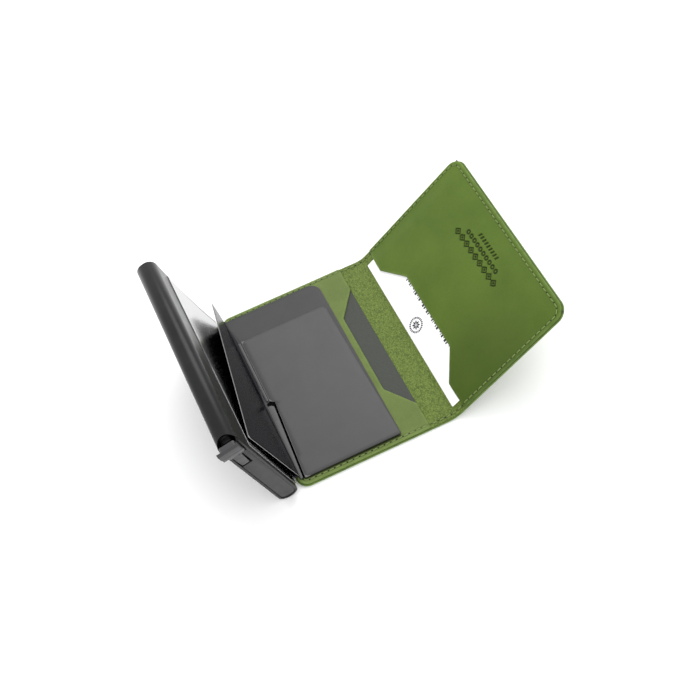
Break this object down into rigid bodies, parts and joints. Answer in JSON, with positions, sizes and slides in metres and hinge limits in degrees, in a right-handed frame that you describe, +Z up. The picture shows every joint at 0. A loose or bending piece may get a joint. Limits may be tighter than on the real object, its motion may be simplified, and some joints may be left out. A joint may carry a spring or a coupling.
{
  "type": "card holder wallet",
  "caption": "Tri-fold leather card holder with a flat metal card case on a film hinge, a banknote clip sheet and a folding flap with a notched card pocket.",
  "frame": {"origin": "centre of the middle panel's resting face", "axes": "+X from the card case towards the folding flap, +Y along the fold lines towards the case's card mouth, +Z up from the surface the cover rests on"},
  "size_m": [0.1527, 0.1008, 0.0644],
  "materials": {
    "outer_leather": "smooth grained, satin",
    "pocket_leather": "smooth grained, satin",
    "spine_leather": "coarse grained, matt",
    "lining": "matt woven",
    "thread": "waxed thread",
    "card": "matt board",
    "sheet_plastic": "satin",
    "film_plastic": "glossy film",
    "anodised": "dark anodised, satin",
    "cap_plastic": "satin",
    "lever_plastic": "moulded",
    "steel": "bright",
    "felt": "felt"
  },
  "bodies": {
    "cover": {"outer_leather_panel": "outer_leather", "outer_leather_spine": "outer_leather", "panel_lining": "lining", "spine_strip": "spine_leather", "panel_pocket": "pocket_leather", "panel_stitching": "thread", "base_sheet": "sheet_plastic", "clip_rib": "sheet_plastic", "hinge_film": "film_plastic", "hinge_leaf": "film_plastic"},
    "flap": {"outer_leather_flap": "outer_leather", "flap_lining": "lining", "flap_pocket": "pocket_leather", "flap_stitching": "thread"},
    "card": {"pocket_card": "card"},
    "clip": {"clip_sheet": "sheet_plastic"},
    "case": {"case_tube": "anodised", "end_cap": "cap_plastic", "case_plate": "film_plastic", "card_brake": "felt", "lever_pivot_pin": "steel", "lever_spring": "steel"},
    "lever": {"ejector_lever": "lever_plastic"},
    "button": {"ejector_button": "cap_plastic"}
  },
  "joints": [
    {"name": "case_fold", "type": "hinge", "parent": "cover", "child": "case", "pos_m": [-0.03146, 0, 0.0041], "axis": [0, 1, 0], "range_deg": [0, 103.6], "deforming": ["hinge_film", "hinge_leaf"]},
    {"name": "flap_fold", "type": "hinge", "parent": "cover", "child": "flap", "pos_m": [0.03926, 0, 0.0094], "axis": [0, -1, 0], "range_deg": [-39, 142.9], "deforming": ["outer_leather_spine", "spine_strip"]},
    {"name": "card_slide", "type": "slide", "parent": "flap", "child": "card", "axis": [0.7771, 0, 0.6293], "range_m": [0, 0.0055]},
    {"name": "clip_lift", "type": "hinge", "parent": "cover", "child": "clip", "pos_m": [-0.02625, 0, 0.00335], "axis": [0, -1, 0], "range_deg": [0, 1.5], "stiffness_Nm_per_rad": 0.05, "springref_deg": -2.86},
    {"name": "lever_swing", "type": "hinge", "parent": "case", "child": "lever", "pos_m": [-0.05128, -0.04188, 0.05777], "axis": [0.9636, 0, 0.2672], "range_deg": [0, 20.5], "stiffness_Nm_per_rad": 0.01, "springref_deg": -17.19, "deforming": ["lever_spring"]},
    {"name": "button_push", "type": "slide", "parent": "case", "child": "button", "axis": [0, 1, 0], "range_m": [0, 0.0026]}
  ],
  "couplings": [
    {"joint": "button_push", "follows": "lever_swing", "m_per_rad": 0.0072668}
  ]
}
